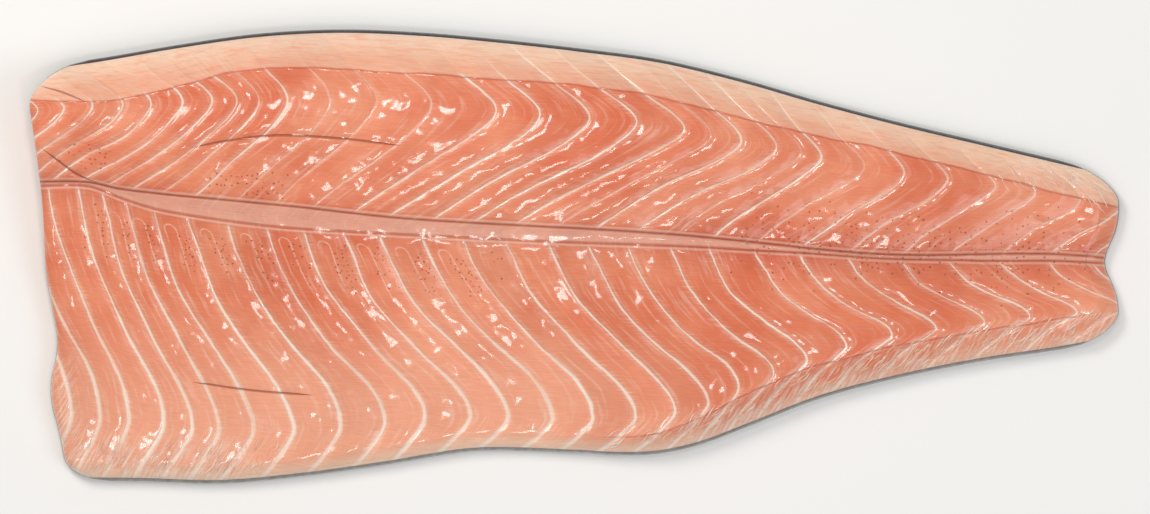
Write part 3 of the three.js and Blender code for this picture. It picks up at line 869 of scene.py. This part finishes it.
    # Rib ends: a short line between two fat lines with a rounded hook at its upper end
    sideways = node("Math", {0: node("Math", {0: number}, operation="FRACT"), 1: look["hookPhase"]},
                    operation="SUBTRACT")
    sideways = node("Math", {0: sideways, 1: flakeSize}, **times)
    bendRadius, hookTop, legs = look["hook"]
    fromCentre = node("Math", {0: sideways, 1: bendRadius}, operation="ADD")
    above = node("Math", {0: offMiddle, 1: hookTop}, operation="ADD")
    arc = node("VectorMath", {0: node("CombineXYZ", {
        0: fromCentre, 1: node("Math", {0: above, 1: 0.0}, operation="MAXIMUM")})}, 1, operation="LENGTH")
    hook = onLine(node("Math", {0: arc, 1: bendRadius}, operation="SUBTRACT"), 0.62)
    leg = node("MapRange", {0: fromCentre, 1: -0.5, 2: 0.5, 3: legs[0], 4: legs[1]})
    leg = node("Math", {0: flakeTone, 1: 9, 2: leg}, operation="MULTIPLY_ADD")
    leg = node("MapRange", {0: node("Math", {0: above, 1: leg}, operation="ADD"), 1: 0.0, 2: 9.0})
    for share in (leg, hooked, node("MapRange", {0: fibre, 1: 0.35, 2: 0.6, 3: 0.35, 4: 1.0})):
        hook = node("Math", {0: hook, 1: share}, **times)
    # Fat over the back: streaks of muscle along the edge, a fine net of them towards the head
    alongEdge = node("Math", {0: node("SeparateXYZ", {0: place}), 1: perSize(16)}, **times)
    grain = node("CombineXYZ", {0: alongEdge, 1: node("Math", {0: backCrease, 1: 0.55}, **times)})
    grain = node("TexNoise", {"Vector": grain, "Scale": 1.0, "Detail": 4, "Roughness": 0.62,
                              "Distortion": 0.4})
    grain = node("MapRange", {0: grain, 1: 0.46, 2: 0.66}, **softEdge)
    grain = node("Math", {0: grain, 1: backFat}, **times)
    wavy = node("Mapping", {"Vector": place, "Scale": (perSize(9), perSize(4.5), perSize(9))})
    waves = node("TexNoise", {"Vector": place, "Scale": perSize(7), "Detail": 3}, 1)
    wavy = node("Mix", {0: 0.4, 4: wavy, 5: waves}, 1, data_type="VECTOR")
    net = node("TexVoronoi", {"Vector": wavy, "Scale": 1.0}, feature="DISTANCE_TO_EDGE",
               voronoi_dimensions="2D")
    net = node("MapRange", {0: net, 1: 0.13, 2: 0.0}, **softEdge)
    for share in (netted, node("MapRange", {0: grain, 3: 0.35, 4: 1.0})):
        net = node("Math", {0: net, 1: share}, **times)
    # Fat feathers out from its lines along the fibres
    feather = node("Math", {0: halo, 1: node("MapRange", {0: fibre, 1: 0.5, 2: 0.68})}, **times)

    tone = node("TexNoise", {"Vector": place, "Scale": perSize(55), "Detail": 3, "Roughness": 0.6})
    tone = node("MapRange", {0: tone, 1: 0.35, 2: 0.65})
    colour = node("Mix", {0: tone, 6: look["light"], 7: look["deep"]}, **tinted)
    # Layers over it, each a mask, its strength and its colour
    layers = [(flap, 0.7, "flap"), (red, 0.5, "red"), (halo, 0.14, "fat"), (feather, 0.3, "fat"),
              (marbling, 0.3, "fat"), (fatEdge, 0.75, "edgeFat"), (backFat, 0.45, "edgeFat"),
              (grain, 0.4, "light"), (net, 0.32, "light"), (inChannel, 0.55, "membrane"),
              (line, 1.0, "fat"), (hook, 0.5, "fat"), (lip, 0.35, "fat"), (strand, 0.6, "fat"),
              (channelLine, 0.5, "shade"), (backLine, 0.5, "shade"), (lowLine, 0.5, "shade"),
              (endLine, 0.35, "shade"), (cut, 0.75, "shade"), (dot, 0.7, "pit")]
    for mask, share, tint in layers:
        factor = node("Math", {0: mask, 1: share}, **times)
        colour = node("Mix", {0: factor, 6: colour, 7: look[tint]}, **tinted)
    # Fibres and flakes lighten and darken it a little
    bright = node("MapRange", {0: fibre, 1: 0.3, 2: 0.7, 3: 0.93, 4: 1.06})
    flakeBright = node("MapRange", {0: flakeTone, 3: 0.96, 4: 1.035})
    bright = node("Math", {0: bright, 1: flakeBright}, **times)
    colour = toned(node, colour, bright)

    # Relief in mm
    relief = node("TexNoise", {"Vector": place, "Scale": perSize(4.5), "Detail": 3})
    relief = node("Math", {0: relief, 1: 0.22}, **times)
    for mask, height in ((fibre, 0.09), (line, -0.16), (cut, -0.7), (strand, 0.2), (channelLine, -0.4),
                         (lip, 0.25), (backLine, -0.35), (lowLine, -0.35), (dot, -0.5)):
        relief = node("Math", {0: mask, 1: height, 2: relief}, operation="MULTIPLY_ADD")
    normal = node("Bump", {"Height": relief, "Distance": mm, "Strength": 1.0})
    # The film of moisture is smoother than the flesh under it
    filmSize, filmHeight = look["film"]
    film = node("TexNoise", {"Vector": place, "Scale": perSize(filmSize), "Detail": 1.0})
    film = node("Bump", {"Height": film, "Distance": filmHeight * mm, "Strength": 1.0})

    sheen = node("TexNoise", {"Vector": place, "Scale": perSize(16), "Detail": 3})
    roughness = node("MapRange", {0: sheen, 1: 0.3, 2: 0.7, 3: look["roughness"] - 0.08,
                                  4: look["roughness"] + 0.1})
    shader = node("BsdfPrincipled", {
        "Base Color": colour, "Roughness": roughness, "IOR": wetTissue["ior"], "Normal": normal,
        "Subsurface Weight": look["subsurface"], "Subsurface Radius": wetTissue["radius"],
        "Subsurface Scale": look["subsurfaceScale"] * mm,
        "Coat Weight": look["coat"], "Coat Roughness": look["coatRoughness"], "Coat Normal": film})
    node("OutputMaterial", {"Surface": shader}, None)
    return material


# Threads of connective tissue torn loose by the trimming: pale, wet, half see-through
strandLook = {"pale": "#FFE2D0", "pink": "#F7B394", "roughness": 0.4, "subsurface": 0.15, "coat": 0.4,
              "subsurfaceScale": 2}  # mm


def tornTissue():
    look = strandLook
    material, node = newMaterial("torn connective tissue")
    place = node("TexCoord", output=3)
    tone = node("TexNoise", {"Vector": place, "Scale": perSize(5), "Detail": 2})
    tone = node("MapRange", {0: tone, 1: 0.35, 2: 0.65})
    colour = node("Mix", {0: tone, 6: look["pale"], 7: look["pink"]}, **tinted)
    shader = node("BsdfPrincipled", {
        "Base Color": colour, "Roughness": look["roughness"], "IOR": wetTissue["ior"],
        "Coat Weight": look["coat"], "Subsurface Weight": look["subsurface"],
        "Subsurface Radius": wetTissue["radius"], "Subsurface Scale": look["subsurfaceScale"] * mm})
    node("OutputMaterial", {"Surface": shader}, None)
    return material


# Salmon skin, outside: silver scales, white below, slate grey with black spots towards the back
skinLook = {
    "back": "#44525A",
    "flank": "#B4BCBE",
    "belly": "#E6E7E2",
    "spot": "#14181A",
    "inside": "#A6A5A1",
    "rimBack": "#596064",
    "rimBelly": "#8F9395",
    "scale": (4.6, 3.2),  # mm: length and width
    "spotEvery": 15,  # mm
    "metallic": 0.55,
    "roughness": 0.28,
    "coat": (0.4, 0.12),  # weight and roughness of the slime on the scales
    "insideRoughness": 0.38,
    "insideCoat": (0.3, 0.15),
}


def salmonSkin():
    look = skinLook
    material, node = newMaterial("salmon skin with scales")
    place = node("TexCoord", output=3)
    side = node("SeparateXYZ", {0: node("Attribute", output=1, attribute_name="side")}, None).outputs
    w, offMiddle = side[0], side[1]
    xyz = node("SeparateXYZ", {0: place}, None)
    # Scales: cells of a lattice turned by 45 degrees, each one raised a little inside its rim
    long, wide = look["scale"]
    u = node("Math", {0: xyz.outputs[0], 1: perSize(long)}, **times)
    v = node("Math", {0: xyz.outputs[1], 1: perSize(wide)}, **times)
    lattice = node("CombineXYZ", {0: node("Math", {0: u, 1: v}, operation="ADD"),
                                  1: node("Math", {0: u, 1: v}, operation="SUBTRACT")})
    cells = {"Vector": lattice, "Scale": 1.0, "Randomness": 0.12}
    edge = node("TexVoronoi", cells, feature="DISTANCE_TO_EDGE", voronoi_dimensions="2D")
    scaleTone = node("SeparateColor", {0: node("TexVoronoi", cells, 1, voronoi_dimensions="2D")})
    rim = node("MapRange", {0: edge, 1: 0.0, 2: 0.16}, **softEdge)
    blend = node("MapRange", {0: w, 1: -0.75, 2: 0.15})
    colour = node("Mix", {0: blend, 6: look["belly"], 7: look["flank"]}, **tinted)
    upper = node("MapRange", {0: w, 1: 0.1, 2: 0.75}, **softEdge)
    colour = node("Mix", {0: upper, 6: colour, 7: look["back"]}, **tinted)
    tint = node("MapRange", {0: scaleTone, 3: 0.86, 4: 1.1})
    tint = node("Math", {0: tint, 1: node("MapRange", {0: rim, 3: 0.72, 4: 1.0})}, **times)
    colour = toned(node, colour, tint)
    spots = node("TexVoronoi", {"Vector": place, "Scale": perSize(look["spotEvery"]), "Randomness": 1.0})
    ragged = node("TexNoise", {"Vector": place, "Scale": perSize(5), "Detail": 2})
    spots = node("Math", {0: ragged, 1: 0.22, 2: spots}, operation="MULTIPLY_ADD")
    spots = node("MapRange", {0: spots, 1: 0.35, 2: 0.28}, **softEdge)
    spots = node("Math", {0: spots, 1: upper}, **times)
    colour = node("Mix", {0: spots, 6: colour, 7: look["spot"]}, **tinted)
    # The lateral line
    lateral = node("Math", {0: offMiddle}, operation="ABSOLUTE")
    lateral = node("MapRange", {0: lateral, 1: 0.9, 2: 0.3}, **softEdge)
    darker = node("Math", {0: lateral, 1: 0.45}, **times)
    colour = node("Mix", {0: darker, 6: colour, 7: look["back"]}, **tinted)
    relief = node("Math", {0: rim, 1: 0.12}, **times)
    relief = node("Math", {0: lateral, 1: -0.2, 2: relief}, operation="MULTIPLY_ADD")
    normal = node("Bump", {"Height": relief, "Distance": mm, "Strength": 1.0})
    coat, coatRoughness = look["coat"]
    shader = node("BsdfPrincipled", {
        "Base Color": colour, "Metallic": look["metallic"], "Roughness": look["roughness"],
        "Normal": normal, "Coat Weight": coat, "Coat Roughness": coatRoughness})
    node("OutputMaterial", {"Surface": shader}, None)
    return material


# The dull wet side under the flesh, and the cut edge that shows as the rim: darker towards the back, mottled
def skinInside(name, dark, pale):
    material, node = newMaterial(name)
    place = node("TexCoord", output=3)
    side = node("SeparateXYZ", {0: node("Attribute", output=1, attribute_name="side")})
    upper = node("MapRange", {0: side, 1: -0.4, 2: 0.5}, **softEdge)
    colour = node("Mix", {0: upper, 6: pale, 7: dark}, **tinted)
    mottle = node("TexNoise", {"Vector": place, "Scale": perSize(3), "Detail": 3})
    mottle = node("MapRange", {0: mottle, 1: 0.3, 2: 0.7, 3: 0.8, 4: 1.12})
    colour = toned(node, colour, mottle)
    normal = node("Bump", {"Height": mottle, "Distance": 0.2 * mm, "Strength": 1.0})
    coat, coatRoughness = skinLook["insideCoat"]
    shader = node("BsdfPrincipled", {
        "Base Color": colour, "Roughness": skinLook["insideRoughness"], "Normal": normal,
        "Coat Weight": coat, "Coat Roughness": coatRoughness})
    node("OutputMaterial", {"Surface": shader}, None)
    return material


flesh.data.materials.append(rawSalmonFlesh())
strands.data.materials.append(tornTissue())
for made in (salmonSkin(), skinInside("salmon skin, inner side", skinLook["rimBack"], skinLook["inside"]),
             skinInside("salmon skin, cut edge", skinLook["rimBack"], skinLook["rimBelly"])):
    skin.data.materials.append(made)
# Outside, inner side and cut edge, told by which way the faces look
for face in skin.data.polygons:
    face.material_index = 1 if face.normal.z > 0.5 else 0 if face.normal.z < -0.5 else 2
print("materials:", len(bpy.data.materials))

# Floor, light and camera
stageLook = {
    "floor": "#F2F0ED",
    "floorSize": 16,
    "floorDrop": 0.0001,  # the floor lies this far under the fillet
    "floorRoughness": 0.7,
    "world": ("#FFFFFF", 0.42),
    "key": {"at": (-0.75, 0.85, 1.25), "size": 0.6, "power": 11.5, "colour": "#FFFCF7"},
    "fill": {"at": (0.95, -0.6, 1.3), "size": 1.1, "power": 7, "colour": "#F4F8FF"},
    "sheen": {"at": (-0.1, 0.62, 1.75), "size": 0.24, "power": 3.6, "colour": "#FFFFFF"},
    "low": {"at": (0.12, -0.52, 1.8), "size": 0.24, "power": 2.8, "colour": "#FFFFFF"},
    "camera": {"lens": 400, "sensor": 36, "height": 6.395, "centre": (0.25, -0.25)},  # centre in mm
    "tones": "Standard",
}


def buildStage():
    selectNone()
    bpy.ops.mesh.primitive_plane_add(size=stageLook["floorSize"], location=(0, 0, -stageLook["floorDrop"]))
    floor = bpy.context.object
    floor.name = "floor"
    material, node = newMaterial("plain pale floor")
    shader = node("BsdfPrincipled", {"Base Color": stageLook["floor"],
                                     "Roughness": stageLook["floorRoughness"]})
    node("OutputMaterial", {"Surface": shader}, None)
    floor.data.materials.append(material)
    for name in ("key", "fill", "sheen", "low"):
        light = stageLook[name]
        bpy.ops.object.light_add(type="AREA", location=light["at"])
        lamp = bpy.context.object
        lamp.name = name + "Light"
        lamp.data.shape = "DISK"
        lamp.data.size = light["size"]
        lamp.data.energy = light["power"]
        lamp.data.color = hexColour(light["colour"])[:3]
        lamp.rotation_euler = (-lamp.location).to_track_quat("-Z", "Y").to_euler()
    world = bpy.data.worlds.new("soft light")
    bpy.context.scene.world = world
    world.use_nodes = True
    background = world.node_tree.nodes["Background"]
    background.inputs["Color"].default_value = hexColour(stageLook["world"][0])
    background.inputs["Strength"].default_value = stageLook["world"][1]
    shot = stageLook["camera"]
    bpy.ops.object.camera_add(location=(shot["centre"][0] * mm, shot["centre"][1] * mm, shot["height"]))
    camera = bpy.context.object
    camera.rotation_euler = (0, 0, 0)
    camera.data.lens = shot["lens"]
    camera.data.sensor_width = shot["sensor"]
    camera.data.clip_end = 100
    bpy.context.scene.camera = camera
    bpy.context.scene.view_settings.view_transform = stageLook["tones"]


buildStage()
